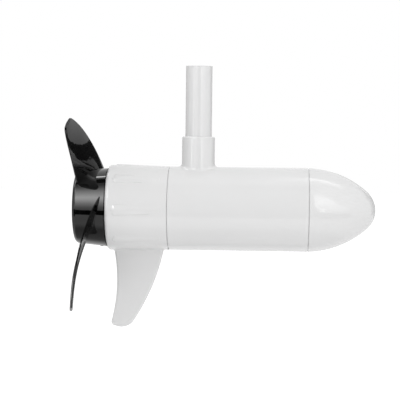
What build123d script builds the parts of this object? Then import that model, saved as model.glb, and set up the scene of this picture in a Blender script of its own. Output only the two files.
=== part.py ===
from build123d import *
import math
import os

# Lower unit of an electric trolling motor. Lengths are in millimetres.
# +X runs forwards along the propeller shaft, +Z up the steering tube, and the
# origin is the centre of the tube's free end.

# Steering tube and its socket
tube_reach = 153.0  # tube's free end down to the propeller shaft's axis
tube_radius = 14.3
tube_wall = 2.3
tube_spigot_step = 0.45  # how much slimmer the tube is inside its socket
tube_edge = 0.4
socket_radius = 17.75
socket_height = 32.5  # socket's rim above the motor housing
socket_round = 1.75
socket_fillet = 4.0
socket_floor = 3.0  # left between the tube's end and the housing's bore
cable_hole_radius = 9.0

# Motor housing
motor_radius = 45.0
housing_wall = 3.0
housing_rear = 30.0  # behind the tube's axis
housing_front = 118.2  # ahead of the tube's axis
seam_width = 0.9
seam_depth = 1.3

# Tail housing
tail_length = 66.3
tail_front_flare = 0.15
tail_rear_flare = 1.0
tail_rim_round = 3.4
tail_floor = 5.5
tail_post_radius = 17.0
tail_post_setback = 4.0  # post's face behind the rear seam
tail_rib_count = 6
tail_rib_thickness = 3.0
tail_rib_length = 30.0
tail_rib_bite = 1.0  # how far a rib runs into the walls beside it
ridge_angles = (-45, 0, 45, 90, 135, 180, 225)  # low ridges round the tail's skin
ridge_radius = 5.0
ridge_rise = 0.7  # at a ridge's rear end; it runs out forwards
ridge_sink = 0.25  # how deep its front end lies under the skin
ridge_setback = 8.5
ridge_length = 46.0

# Skeg, measured down from the tail's skin
skeg_depth = 84.2
skeg_thickness = 7.0
skeg_edge_round = 2.6
skeg_root_fillet = 3.0
skeg_sink = 4.0

# Nose cone
nose_length = 72.6
nose_hollow_outline = [  # shares of the nose's length and of the motor's radius
    (0.3, 0.8),
    (0.55, 0.66),
    (0.8, 0.43),
    (0.88, 0.28),
]
nose_start_angle = 2.0  # the nose's slope at its seam, degrees
nose_turn_angle = 42.0  # its slope where the long side arc meets the tip's arc
nose_post_radius = 13.5
nose_post_setback = 6.0  # post's face ahead of the front seam

# Joints between the three housings
spigot_length = 8.0
spigot_wall = 4.0
seal_ring_width = 2.4
seal_ring_height = 2.0
seal_ring_setback = 2.4
bolt_radius = 2.5
bolt_gap = 0.3  # between a bolt and the flux ring
bolt_angle = 113.0
bolt_head_radius = 4.4
bolt_head_height = 3.6
bolt_thread_length = 11.0
bolt_boss_radius = 5.5
bolt_boss_length = 20.0

# Clearances
slip_fit = 0.05
running_fit = 0.06
end_play = 0.3
air_gap = 0.8
moving_gap = 1.0
free_gap = 0.5

# Shaft and bearings
shaft_radius = 7.5
journal_radius = 6.0
thread_radius = 5.0
shaft_chamfer = 0.6
bush_wall = 3.0
bush_length = 17.0
bush_flange = 3.0
bush_flange_thickness = 2.0
thrust_washer_thickness = 1.0
thrust_washer_radius = 11.0
lip_seal_radius = 12.0
lip_seal_width = 6.5
lip_seal_count = 2
lip_seal_skin = 1.5
lip_seal_recess = 0.8

# Magnets and their steel ring: shares are of the motor's radius
flux_ring_share = 0.0889
magnet_share = 0.1689
magnet_angle = 120.0
magnet_overhang = 3.0
flux_ring_overhang = 8.0
cable_notch_width = 18.0
cable_notch_front = 12.5

# Armature
core_length = 78.0
slot_count = 12
slot_mouth = 2.4
slot_lip = 3.1  # iron left outside a slot
slot_floor_share = 1 / 3  # slots' floors, as a share of the motor's radius
tooth_width = 4.5
slot_liner = 0.4
end_turn_length = 12.0
end_turn_share = 0.278  # bore of the end turns, as a share of the motor's radius
end_turn_bevel = 3.5
insulator_thickness = 0.8

# Commutator
commutator_radius = 12.5
commutator_hub_radius = 9.0
commutator_length = 16.0
riser_height = 2.7
riser_length = 2.4
bar_gap = 0.7

# Brush gear
plate_thickness = 3.0
plate_setback = 3.0  # plate's front face ahead of the front seam
plate_slack = 0.75  # between the plate's rim and the nose's spigot
plate_bore = 17.5
brush_width = 11.0  # along the shaft
brush_thickness = 8.0
brush_share = 0.585  # of the way from the commutator to the spring's seat
brush_slack = 0.12
brush_ride = 0.12
holder_wall = 0.9
holder_rise = 2.6  # holder's mouth clear of the commutator
spring_radius = 2.7
spring_wire = 0.7
spring_turns = 3.0
spring_seat_gap = 0.05
strip_thickness = 0.8
strip_width = 3.4
strip_setback = 10.3  # strip's middle line inside the plate's rim
tab_width = 5.4
plate_screw_setback = 4.7
plate_screw_radius = 2.0
plate_screw_length = 9.0
screw_head_radius = 3.2
screw_head_height = 1.8
screw_slot_width = 0.7
plate_post_radius = 4.0

# Leads
lead_radius = 2.1
lead_spacing = 8.6
lead_bend = 9.0
lead_gap = 1.4  # between a lead and the flux ring's radius
lead_holder_gap = 1.75  # between a lead and the brush holder below it
lead_top_drop = 12.0  # leads' ends below the tube's free end
terminal_wall = 0.8
splice_length = 14.0
splice_grip = 8.0
eyelet_length = 5.0
potting_depth = 12.0

# Propeller
blade_count = 3
hub_inset = 2.5  # hub's front edge inside the motor housing's radius
hub_taper = 6.0  # degrees
hub_length = 34.5
hub_rim_round = 4.4
hub_rim_lip = 1.0
hub_wall = 3.2
hub_web = 4.0
hub_web_setback = 12.0  # behind the hub's front edge
hub_sleeve_radius = 15.5
hub_sleeve_setback = 1.2
hub_sleeve_stand = 2.4  # sleeve's end behind the web
hub_rib_count = 6
hub_rib_angle = 30.0
hub_rib_thickness = 3.0
hub_rib_setback = 3.0
drive_pin_radius = 2.4
drive_pin_length = 30.0
drive_pin_setback = 4.6
drive_slot_slack = 0.3
nut_across_flats = 19.0
nut_height = 9.0
nut_chamfer = 0.8
prop_washer_radius = 11.5
prop_washer_thickness = 1.6
thread_stick_out = 2.0

# Blades. Each row of the outline gives the share of the way from the hub to
# the tip, and the angles about the shaft of the leading and trailing edges.
blade_tip_radius = 115.0
blade_root_sink = 4.5  # how far the first section stands inside the hub's front edge
blade_outline = [
    (0.0, 27.0, -79.0),
    (0.27, -11.4, -73.8),
    (0.54, -37.2, -72.0),
    (0.8, -54.0, -72.8),
    (1.0, -63.7, -73.2),
]
blade_thickness = 5.0
blade_tip_thickness = 3.2
blade_edge = 1.3
blade_leading_round = 6.0
blade_tip_round = 14.8  # circle that cuts off the tip's trailing corner
blade_tip_centre = 103.1  # that circle's centre from the shaft's axis
blade_tip_angle = -67.2
blade_tip_sweep = 39.0  # how far the tip points behind the radius through it
blade_set_angle = -37.8
blade_root_gap = 2.0  # root's leading edge behind the hub's front edge
blade_pitch = 98.5  # advance in one turn at the set angle
blade_camber = 0.00075  # lost advance, mm for each degree squared
blade_rake = 7.9  # how far the tip leans aft
blade_rake_radius = 100.0

# Stations along the shaft
axle_z = -tube_reach
rear_seam = -housing_rear
front_seam = housing_front
tail_rim = rear_seam - tail_length
housing_bore = motor_radius - housing_wall
spigot_radius = housing_bore - slip_fit
inner_radius = spigot_radius - spigot_wall
plate_radius = inner_radius - plate_slack
plate_screw_circle = plate_radius - plate_screw_setback
socket_top = axle_z + motor_radius + socket_height
tube_end = axle_z + housing_bore + socket_floor

plate_front = front_seam + plate_setback
plate_rear = plate_front - plate_thickness
holder_depth = brush_width + 2 * (brush_slack + holder_wall)
holder_width = brush_thickness + 2 * (brush_slack + holder_wall)
brush_x = plate_rear - holder_depth / 2
commutator_front = brush_x + commutator_length / 2
commutator_rear = brush_x - commutator_length / 2
riser_rear = commutator_rear - riser_length
riser_radius = commutator_radius + riser_height
core_front = riser_rear - free_gap - end_turn_length - insulator_thickness
core_rear = core_front - core_length

magnet_outer = housing_bore - 2 * slip_fit - flux_ring_share * motor_radius
magnet_inner = magnet_outer - magnet_share * motor_radius
bolt_circle_radius = magnet_outer - bolt_gap - bolt_radius
lead_run_radius = magnet_outer - lead_gap - lead_radius
core_radius = magnet_inner - air_gap
slot_outer_radius = core_radius - slot_lip
slot_inner_radius = slot_floor_share * motor_radius
end_turn_inner = end_turn_share * motor_radius
magnet_length = core_length + 2 * magnet_overhang
magnet_rear = core_rear - magnet_overhang
flux_ring_rear = magnet_rear - flux_ring_overhang
flux_ring_length = magnet_length + 2 * flux_ring_overhang

nose_post_face = front_seam + nose_post_setback
front_shoulder = (
    nose_post_face - bush_flange_thickness - end_play - thrust_washer_thickness
)
tail_post_face = rear_seam - tail_post_setback
rear_shoulder = (
    tail_post_face + bush_flange_thickness + end_play + thrust_washer_thickness
)
bush_radius = journal_radius + bush_wall
bush_tail_end = tail_post_face - bush_length
shaft_front_end = nose_post_face + bush_length

hub_front_radius = motor_radius - hub_inset
blade_root_radius = hub_front_radius - blade_root_sink
hub_front = tail_rim - moving_gap
hub_rear = hub_front - hub_length
hub_slope = math.tan(math.radians(hub_taper))
web_front = hub_front - hub_web_setback
web_rear = web_front - hub_web
sleeve_front = hub_front - hub_sleeve_setback
sleeve_rear = web_rear - hub_sleeve_stand
drive_pin_x = hub_front - drive_pin_setback
washer_rear = sleeve_rear - prop_washer_thickness
nut_rear = washer_rear - nut_height
shaft_rear_end = nut_rear - thread_stick_out

lengthwise = Plane(origin=(0, 0, axle_z), x_dir=(1, 0, 0), z_dir=(0, -1, 0))
axle = Axis((0, 0, axle_z), (1, 0, 0))


def across(x):
    """Plane square to the shaft at station x: its x is +Y and its y is +Z."""
    return Plane(origin=(x, 0, axle_z), x_dir=(0, 1, 0), z_dir=(1, 0, 0))


def level(height):
    """Level plane at a height above the shaft's axis."""
    return Plane.XY.offset(axle_z + height)


os.makedirs("parts", exist_ok=True)


def save(solid, name):
    solid.label = name
    export_step(solid, f"parts/{name}.step")


# Motor housing: one casting of a barrel and the socket for the steering tube.
with BuildPart() as center_housing:
    with BuildSketch(across(rear_seam)):
        Circle(motor_radius)
    extrude(amount=front_seam - rear_seam)
    with BuildSketch(level(motor_radius / 2)):
        Circle(socket_radius)
    extrude(amount=motor_radius / 2 + socket_height)
    root = center_housing.edges().filter_by(GeomType.CIRCLE, reverse=True)
    fillet(root.filter_by(GeomType.LINE, reverse=True), socket_fillet)
    fillet(center_housing.edges().group_by(Axis.Z)[-1], socket_round)
    with BuildSketch(across(rear_seam)):
        Circle(housing_bore)
    extrude(amount=front_seam - rear_seam, mode=Mode.SUBTRACT)
    with BuildSketch(Plane.XY.offset(socket_top)):
        Circle(tube_radius - tube_spigot_step + slip_fit)
    extrude(amount=tube_end - socket_top, mode=Mode.SUBTRACT)
    with BuildSketch(Plane.XY.offset(tube_end)):
        Circle(cable_hole_radius)
    extrude(amount=-motor_radius / 2, mode=Mode.SUBTRACT)
save(center_housing.part, "center_housing")

# Steering tube: a shoulder rests on the socket's rim.
with BuildPart() as shaft_tube:
    with BuildSketch():
        Circle(tube_radius)
    extrude(amount=socket_top)
    with BuildSketch(Plane.XY.offset(socket_top)):
        Circle(tube_radius - tube_spigot_step)
    extrude(amount=tube_end - socket_top)
    with BuildSketch():
        Circle(tube_radius - tube_wall)
    extrude(amount=tube_end, mode=Mode.SUBTRACT)
    chamfer(shaft_tube.edges().group_by(Axis.Z)[-1].sort_by(SortBy.LENGTH)[0], tube_edge)
save(shaft_tube.part, "shaft_tube")

# Skeg: a plate with rounded edges that reaches up into the tail. Its outline is
# given in shares of the tail's length forwards and of the skeg's depth down.
tail_skin = motor_radius + tail_rear_flare
skeg_sunk = -skeg_sink / skeg_depth


def skeg_point(forwards, down):
    return (tail_rim + forwards * tail_length, -(tail_skin + down * skeg_depth))


with BuildPart() as skeg:
    with BuildSketch(lengthwise):
        with BuildLine():
            trailing = ThreePointArc(
                skeg_point(0.081, skeg_sunk), skeg_point(0.14, 0.46), skeg_point(0.054, 0.925)
            )
            heel = ThreePointArc(trailing @ 1, skeg_point(0.065, 0.964), skeg_point(0.112, 0.985))
            sole = ThreePointArc(heel @ 1, skeg_point(0.234, 1.0), skeg_point(0.4, 0.938))
            leading = ThreePointArc(
                sole @ 1, skeg_point(0.658, 0.575), skeg_point(0.911, skeg_sunk)
            )
            Line(leading @ 1, trailing @ 0)
        make_face()
    extrude(amount=skeg_thickness / 2, both=True)
    rim = skeg.faces().filter_by(Axis.Y).edges()
    fillet(rim.sort_by(Axis.Z)[:-2], skeg_edge_round)

# Tail housing: end bell with the skeg, a bearing post and the seal's bore.
with BuildPart() as tail_hollow:
    with BuildSketch(across(tail_rim + tail_floor)):
        Circle(inner_radius)
        Circle(tail_post_radius, mode=Mode.SUBTRACT)
    extrude(amount=tail_post_face - tail_rim - tail_floor)
    with BuildSketch(across(tail_post_face)):
        Circle(inner_radius)
    extrude(amount=rear_seam + spigot_length - tail_post_face)
    with BuildSketch(across(tail_rim + tail_floor)):
        with PolarLocations((inner_radius + tail_post_radius) / 2, tail_rib_count):
            Rectangle(
                inner_radius - tail_post_radius + 2 * tail_rib_bite, tail_rib_thickness
            )
    extrude(amount=tail_rib_length, mode=Mode.SUBTRACT)
    with BuildSketch(across(tail_rim + tail_floor)):
        with PolarLocations(bolt_circle_radius, 2, start_angle=bolt_angle):
            Circle(bolt_boss_radius)
    extrude(amount=bolt_boss_length, mode=Mode.SUBTRACT)

# Low ridge on the tail's port side: a cone sunk in the skin, which runs out forwards
tail_narrowing = (tail_rear_flare - tail_front_flare) / tail_length
ridge_fall = ridge_rise + ridge_sink + tail_narrowing * (ridge_setback + ridge_length)
ridge_taper = math.degrees(math.atan2(ridge_fall, ridge_length))
with BuildPart() as ridge:
    with BuildSketch(across(tail_rim + ridge_setback)):
        with Locations((tail_skin + ridge_rise - ridge_radius, 0)):
            Circle(ridge_radius)
    extrude(amount=ridge_length, taper=ridge_taper)

seal_bore_end = tail_rim + lip_seal_recess + lip_seal_count * lip_seal_width
with BuildPart() as tail_housing:
    with BuildSketch(lengthwise):
        with BuildLine():
            Polyline(
                (tail_rim, 0),
                (tail_rim, motor_radius + tail_rear_flare),
                (rear_seam - seam_width, motor_radius + tail_front_flare),
                (rear_seam - seam_width, motor_radius - seam_depth),
                (rear_seam, motor_radius - seam_depth),
                (rear_seam, spigot_radius),
                (rear_seam + spigot_length, spigot_radius),
                (rear_seam + spigot_length, 0),
                close=True,
            )
        make_face()
    revolve(axis=axle)
    fillet(
        tail_housing.edges().filter_by(GeomType.CIRCLE).group_by(Axis.X)[0],
        tail_rim_round,
    )
    for angle in ridge_angles:
        add(ridge.part.rotate(axle, angle))
    barrel_edges = tail_housing.edges()
    add(skeg.part)
    root = (tail_housing.edges() - barrel_edges).filter_by_position(
        Axis.Z, axle_z - tail_skin - skeg_root_fillet, axle_z
    )
    fillet(root, skeg_root_fillet)
    add(tail_hollow.part, mode=Mode.SUBTRACT)
    with BuildSketch(across(tail_rim)):
        Circle(lip_seal_radius + slip_fit)
    extrude(amount=seal_bore_end - tail_rim, mode=Mode.SUBTRACT)
    with BuildSketch(across(seal_bore_end)):
        Circle(journal_radius + free_gap)
    extrude(amount=bush_tail_end - seal_bore_end, mode=Mode.SUBTRACT)
    with BuildSketch(across(bush_tail_end)):
        Circle(bush_radius + slip_fit)
    extrude(amount=bush_length, mode=Mode.SUBTRACT)
    with BuildSketch(across(tail_rim)):
        with PolarLocations(bolt_circle_radius, 2, start_angle=bolt_angle):
            Circle(bolt_head_radius + free_gap)
    extrude(amount=bolt_head_height + free_gap, mode=Mode.SUBTRACT)
    with BuildSketch(across(tail_rim)):
        with PolarLocations(bolt_circle_radius, 2, start_angle=bolt_angle):
            Circle(bolt_radius + free_gap / 2)
    extrude(amount=tail_floor + bolt_boss_length, mode=Mode.SUBTRACT)
    with BuildSketch(across(rear_seam + seal_ring_setback)):
        Circle(spigot_radius)
        Circle(spigot_radius - seal_ring_height, mode=Mode.SUBTRACT)
    extrude(amount=seal_ring_width + 2 * slip_fit, mode=Mode.SUBTRACT)
save(tail_housing.part, "tail_housing")

# Nose cone: the front end bell, with a bearing post. Its bullet shape is two arcs,
# a long one down the side and a short one that ends square to the shaft.
nose_start = math.radians(nose_start_angle)
nose_turn = math.radians(nose_turn_angle)
arc_length = nose_length - seam_width
side_share = math.cos(nose_start) - math.cos(nose_turn)
side_reach = math.sin(nose_turn) - math.sin(nose_start)
tip_reach = 1 - math.sin(nose_turn)
side_arc_radius = (arc_length * math.cos(nose_turn) - motor_radius * tip_reach) / (
    side_reach * math.cos(nose_turn) - side_share * tip_reach
)
tip_arc_radius = (motor_radius - side_arc_radius * side_share) / math.cos(nose_turn)

with BuildPart() as nose_hollow:
    with BuildSketch(lengthwise):
        with BuildLine():
            walls = [
                (front_seam + forwards * nose_length, outwards * motor_radius)
                for forwards, outwards in nose_hollow_outline
            ]
            Polyline(
                (front_seam - spigot_length, 0),
                (front_seam - spigot_length, inner_radius),
                (front_seam, inner_radius),
                *walls,
                (walls[-1][0], 0),
                close=True,
            )
        make_face()
    revolve(axis=axle)
    with BuildSketch(across(nose_post_face)):
        Circle(nose_post_radius)
    extrude(amount=nose_length, mode=Mode.SUBTRACT)
    with BuildSketch(across(plate_front)):
        with PolarLocations(bolt_circle_radius, 2, start_angle=bolt_angle):
            Circle(bolt_boss_radius)
        with PolarLocations(plate_screw_circle, 2):
            Circle(plate_post_radius)
    extrude(amount=nose_length, mode=Mode.SUBTRACT)

with BuildPart() as nose_cone:
    with BuildSketch(lengthwise):
        with BuildLine():
            side = JernArc(
                (front_seam + seam_width, motor_radius),
                (math.cos(nose_start), -math.sin(nose_start)),
                side_arc_radius,
                nose_start_angle - nose_turn_angle,
            )
            JernArc(side @ 1, side % 1, tip_arc_radius, nose_turn_angle - 90)
            Polyline(
                (front_seam + nose_length, 0),
                (front_seam - spigot_length, 0),
                (front_seam - spigot_length, spigot_radius),
                (front_seam, spigot_radius),
                (front_seam, motor_radius - seam_depth),
                (front_seam + seam_width, motor_radius - seam_depth),
                side @ 0,
            )
        make_face()
    revolve(axis=axle)
    add(nose_hollow.part, mode=Mode.SUBTRACT)
    with BuildSketch(across(nose_post_face)):
        Circle(bush_radius + slip_fit)
    extrude(amount=bush_length + free_gap, mode=Mode.SUBTRACT)
    with BuildSketch(across(plate_front)):
        with PolarLocations(bolt_circle_radius, 2, start_angle=bolt_angle):
            Circle(bolt_radius + slip_fit)
    extrude(amount=bolt_thread_length + free_gap, mode=Mode.SUBTRACT)
    with BuildSketch(across(plate_front)):
        with PolarLocations(plate_screw_circle, 2):
            Circle(plate_screw_radius + slip_fit)
    extrude(amount=plate_screw_length, mode=Mode.SUBTRACT)
    groove_front = front_seam - seal_ring_setback
    with BuildSketch(across(groove_front)):
        Circle(spigot_radius)
        Circle(spigot_radius - seal_ring_height, mode=Mode.SUBTRACT)
    extrude(amount=-seal_ring_width - 2 * slip_fit, mode=Mode.SUBTRACT)
save(nose_cone.part, "nose_cone")

# Square-cut rubber rings that seal both spigots
rear_ring_start = rear_seam + seal_ring_setback + slip_fit
front_ring_start = groove_front - seal_ring_width - slip_fit
with BuildPart() as seal_rings:
    for start in (rear_ring_start, front_ring_start):
        with BuildSketch(across(start)):
            Circle(spigot_radius)
            Circle(spigot_radius - seal_ring_height + slip_fit, mode=Mode.SUBTRACT)
        extrude(amount=seal_ring_width)
save(seal_rings.part, "seal_rings")

# Two long bolts from the tail's rim into the nose clamp the three housings.
bolt_seat = tail_rim + bolt_head_height + free_gap
with BuildPart() as thru_bolts:
    with BuildSketch(across(bolt_seat)):
        with PolarLocations(bolt_circle_radius, 2, start_angle=bolt_angle):
            Circle(bolt_head_radius)
    extrude(amount=-bolt_head_height)
    with BuildSketch(across(tail_rim + free_gap)):
        with PolarLocations(bolt_circle_radius, 2, start_angle=bolt_angle):
            RegularPolygon(bolt_head_radius / 2, 6)
    extrude(amount=bolt_head_height / 2, mode=Mode.SUBTRACT)
    with BuildSketch(across(bolt_seat)):
        with PolarLocations(bolt_circle_radius, 2, start_angle=bolt_angle):
            Circle(bolt_radius)
    extrude(amount=plate_front + bolt_thread_length - bolt_seat)
save(thru_bolts.part, "thru_bolts")

# Flux ring: steel tube inside the housing, notched for the leads.
with BuildPart() as flux_ring:
    with BuildSketch(across(flux_ring_rear)):
        Circle(housing_bore - slip_fit)
        Circle(magnet_outer + slip_fit, mode=Mode.SUBTRACT)
    extrude(amount=flux_ring_length)
    with BuildSketch(level(0)):
        with Locations((flux_ring_rear, 0)):
            Rectangle(
                2 * (cable_notch_front - flux_ring_rear), cable_notch_width
            )
    extrude(amount=motor_radius, mode=Mode.SUBTRACT)
save(flux_ring.part, "flux_ring")

# Two curved ferrite magnets, one on each side.
for side, name in ((0, "magnet_port"), (180, "magnet_starboard")):
    with BuildPart() as magnet:
        with BuildSketch(across(magnet_rear)):
            with BuildLine():
                reach = magnet_angle / 2
                outer = CenterArc((0, 0), magnet_outer, side - reach, magnet_angle)
                inner = CenterArc((0, 0), magnet_inner, side - reach, magnet_angle)
                Line(outer @ 0, inner @ 0)
                Line(outer @ 1, inner @ 1)
            make_face()
        extrude(amount=magnet_length)
    save(magnet.part, name)

# Motor shaft: thick in the middle, with journals, a cross hole and a threaded end.
with BuildPart() as motor_shaft:
    with BuildSketch(lengthwise):
        with BuildLine():
            Polyline(
                (shaft_rear_end, 0),
                (shaft_rear_end, thread_radius - shaft_chamfer),
                (shaft_rear_end + shaft_chamfer, thread_radius),
                (sleeve_rear, thread_radius),
                (sleeve_rear, journal_radius),
                (rear_shoulder, journal_radius),
                (rear_shoulder, shaft_radius),
                (front_shoulder, shaft_radius),
                (front_shoulder, journal_radius),
                (shaft_front_end - shaft_chamfer, journal_radius),
                (shaft_front_end, journal_radius - shaft_chamfer),
                (shaft_front_end, 0),
                close=True,
            )
        make_face()
    revolve(axis=axle)
    with BuildSketch(lengthwise):
        with Locations((drive_pin_x, 0)):
            Circle(drive_pin_radius + slip_fit)
    extrude(amount=journal_radius, both=True, mode=Mode.SUBTRACT)
save(motor_shaft.part, "motor_shaft")

# Pin through the shaft, which turns the propeller by the slots in its sleeve
with BuildPart() as drive_pin:
    with BuildSketch(lengthwise):
        with Locations((drive_pin_x, 0)):
            Circle(drive_pin_radius)
    extrude(amount=drive_pin_length / 2, both=True)
save(drive_pin.part, "drive_pin")

# Flanged bronze bushes in the two bearing posts
with BuildPart() as shaft_bushes:
    for face, forwards in ((tail_post_face, -1), (nose_post_face, 1)):
        flange_face = face - forwards * bush_flange_thickness
        with BuildSketch(across(face)):
            Circle(bush_radius)
        extrude(amount=forwards * bush_length)
        with BuildSketch(across(face)):
            Circle(bush_radius + bush_flange)
        extrude(amount=-forwards * bush_flange_thickness)
        with BuildSketch(across(flange_face)):
            Circle(journal_radius + running_fit)
        extrude(amount=forwards * (bush_length + bush_flange_thickness), mode=Mode.SUBTRACT)
save(shaft_bushes.part, "shaft_bushes")

# Fibre washers between the shaft's shoulders and the bushes
with BuildPart() as thrust_washers:
    for start in (rear_shoulder - thrust_washer_thickness, front_shoulder):
        with BuildSketch(across(start)):
            Circle(thrust_washer_radius)
            Circle(journal_radius + slip_fit, mode=Mode.SUBTRACT)
        extrude(amount=thrust_washer_thickness)
save(thrust_washers.part, "thrust_washers")

# Lip seals in the tail's bore: each is a ring with a thin lip round the shaft.
lip_radius = journal_radius + running_fit
with BuildPart() as shaft_seals:
    for number in range(lip_seal_count):
        outside_x = tail_rim + lip_seal_recess + number * lip_seal_width
        with BuildSketch(lengthwise):
            with BuildLine():
                Polyline(
                    (outside_x, lip_seal_radius),
                    (outside_x + lip_seal_width, lip_seal_radius),
                    (outside_x + lip_seal_width, lip_seal_radius - lip_seal_skin),
                    (outside_x + lip_seal_skin, lip_seal_radius - lip_seal_skin),
                    (outside_x + lip_seal_skin, lip_radius),
                    (outside_x, lip_radius),
                    close=True,
                )
            make_face()
        revolve(axis=axle)
save(shaft_seals.part, "shaft_seals")

# Armature: laminated core with slots that open through narrow mouths.
tooth_pitch = 2 * math.pi / slot_count  # in radians


def slot_outline(clear):
    """Tapered slot on the plane's +Y side, drawn in by a clearance."""
    inner_y = slot_inner_radius + clear
    outer_y = slot_outer_radius - clear
    inner_x = (tooth_pitch * inner_y - tooth_width) / 2 - clear
    outer_x = (tooth_pitch * outer_y - tooth_width) / 2 - clear
    return [(-inner_x, inner_y), (inner_x, inner_y), (outer_x, outer_y), (-outer_x, outer_y)]


with BuildPart() as armature_core:
    with BuildSketch(across(core_rear)):
        Circle(core_radius)
        Circle(shaft_radius + slip_fit, mode=Mode.SUBTRACT)
        with PolarLocations(0, slot_count):
            Polygon(*slot_outline(0), align=None, mode=Mode.SUBTRACT)
            with Locations((0, core_radius)):
                mouth_depth = 2 * (core_radius - slot_outer_radius + slip_fit)
                Rectangle(slot_mouth, mouth_depth, mode=Mode.SUBTRACT)
    extrude(amount=core_length)
save(armature_core.part, "armature_core")

# End insulators keep the coils off the core's ends.
with BuildPart() as core_insulators:
    for start in (core_rear - insulator_thickness, core_front):
        with BuildSketch(across(start)):
            Circle(slot_outer_radius)
            Circle(shaft_radius + slip_fit, mode=Mode.SUBTRACT)
            with PolarLocations(0, slot_count):
                Polygon(*slot_outline(0), align=None, mode=Mode.SUBTRACT)
        extrude(amount=insulator_thickness)
save(core_insulators.part, "core_insulators")

# Winding: coil sides in every slot, joined by the end turns.
end_turn_outer = slot_outer_radius - slot_liner
with BuildPart() as armature_winding:
    with BuildSketch(across(core_rear - insulator_thickness)):
        with PolarLocations(0, slot_count):
            Polygon(*slot_outline(slot_liner), align=None)
    extrude(amount=core_length + 2 * insulator_thickness)
    for near, far in (
        (core_rear - insulator_thickness, -end_turn_length),
        (core_front + insulator_thickness, end_turn_length),
    ):
        with BuildSketch(lengthwise):
            with BuildLine():
                bevel = math.copysign(end_turn_bevel, far)
                Polyline(
                    (near, end_turn_inner),
                    (near, end_turn_outer),
                    (near + far - bevel, end_turn_outer),
                    (near + far, end_turn_outer - end_turn_bevel),
                    (near + far, end_turn_inner),
                    close=True,
                )
            make_face()
        revolve(axis=axle)
save(armature_winding.part, "armature_winding")

# Commutator: copper bars with risers on a moulded hub.
with BuildPart() as commutator_hub:
    with BuildSketch(across(riser_rear)):
        Circle(commutator_hub_radius)
        Circle(shaft_radius + slip_fit, mode=Mode.SUBTRACT)
    extrude(amount=commutator_front - riser_rear)
save(commutator_hub.part, "commutator_hub")

bar_angle = 360 / slot_count
with BuildPart() as commutator_bars:
    with BuildSketch(across(riser_rear)):
        Circle(riser_radius)
        Circle(commutator_hub_radius + slip_fit, mode=Mode.SUBTRACT)
        with PolarLocations(riser_radius / 2, slot_count, start_angle=bar_angle / 2):
            Rectangle(riser_radius + bar_gap, bar_gap, mode=Mode.SUBTRACT)
    extrude(amount=riser_length)
    with BuildSketch(across(commutator_rear)):
        Circle(commutator_radius)
        Circle(commutator_hub_radius + slip_fit, mode=Mode.SUBTRACT)
        with PolarLocations(riser_radius / 2, slot_count, start_angle=bar_angle / 2):
            Rectangle(riser_radius + bar_gap, bar_gap, mode=Mode.SUBTRACT)
    extrude(amount=commutator_length)
save(commutator_bars.part, "commutator_bars")

# Brush plate: insulating board screwed to the nose cone's posts.
with BuildPart() as brush_plate:
    with BuildSketch(across(plate_rear)):
        Circle(plate_radius)
        Circle(plate_bore, mode=Mode.SUBTRACT)
        with PolarLocations(bolt_circle_radius, 2, start_angle=bolt_angle):
            Circle(bolt_radius + free_gap, mode=Mode.SUBTRACT)
        with PolarLocations(plate_screw_circle, 2):
            Circle(plate_screw_radius + slip_fit, mode=Mode.SUBTRACT)
    extrude(amount=plate_thickness)
save(brush_plate.part, "brush_plate")

# Slotted screws hold the plate.
with BuildPart() as plate_screws:
    with BuildSketch(across(plate_rear)):
        with PolarLocations(plate_screw_circle, 2):
            Circle(screw_head_radius)
    extrude(amount=-screw_head_height)
    with BuildSketch(across(plate_rear - screw_head_height)):
        with PolarLocations(plate_screw_circle, 2):
            Rectangle(2 * screw_head_radius, screw_slot_width)
    extrude(amount=screw_head_height / 2, mode=Mode.SUBTRACT)
    with BuildSketch(across(plate_rear)):
        with PolarLocations(plate_screw_circle, 2):
            Circle(plate_screw_radius)
    extrude(amount=plate_thickness + plate_screw_length - free_gap)
save(plate_screws.part, "plate_screws")

# Carbon brushes above and below the commutator, each in its brass holder with
# a spring behind it.
brush_foot = commutator_radius + brush_ride
holder_foot = commutator_radius + holder_rise
holder_back = lead_run_radius - lead_radius - lead_holder_gap
holder_seat = holder_back - holder_wall
brush_corner = math.hypot(brush_foot, brush_thickness / 2)
brush_back = brush_corner + brush_share * (holder_seat - brush_corner)
spring_length = holder_seat - brush_back
spring_pitch = (spring_length - 2 * spring_seat_gap - spring_wire) / spring_turns
for up, name in ((1, "top"), (-1, "bottom")):
    with BuildPart() as brush:
        with BuildSketch(level(0)):
            with Locations((brush_x, 0)):
                Rectangle(brush_width, brush_thickness)
        extrude(amount=up * brush_back)
        with BuildSketch(across(brush_x)):
            Circle(brush_foot)
        extrude(amount=brush_width, both=True, mode=Mode.SUBTRACT)
    save(brush.part, f"brush_{name}")

    with BuildPart() as holder:
        with BuildSketch(level(up * holder_foot)):
            with Locations((brush_x, 0)):
                Rectangle(holder_depth, holder_width)
        extrude(amount=up * (holder_back - holder_foot))
        with BuildSketch(level(up * holder_foot)):
            with Locations((brush_x, 0)):
                Rectangle(brush_width + 2 * brush_slack, brush_thickness + 2 * brush_slack)
        extrude(amount=up * (holder_seat - holder_foot), mode=Mode.SUBTRACT)
    save(holder.part, f"brush_holder_{name}")

    start_height = up * (brush_back + spring_seat_gap + spring_wire / 2)
    with BuildPart() as spring:
        with BuildLine():
            coil = Helix(
                pitch=spring_pitch,
                height=spring_pitch * spring_turns,
                radius=spring_radius,
                center=(brush_x, 0, axle_z + start_height),
                direction=(0, 0, up),
            )
        with BuildSketch(Plane(origin=coil @ 0, z_dir=coil % 0)):
            Rectangle(spring_wire, spring_wire)
        sweep(is_frenet=True)
    save(spring.part, f"brush_spring_{name}")

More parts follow.
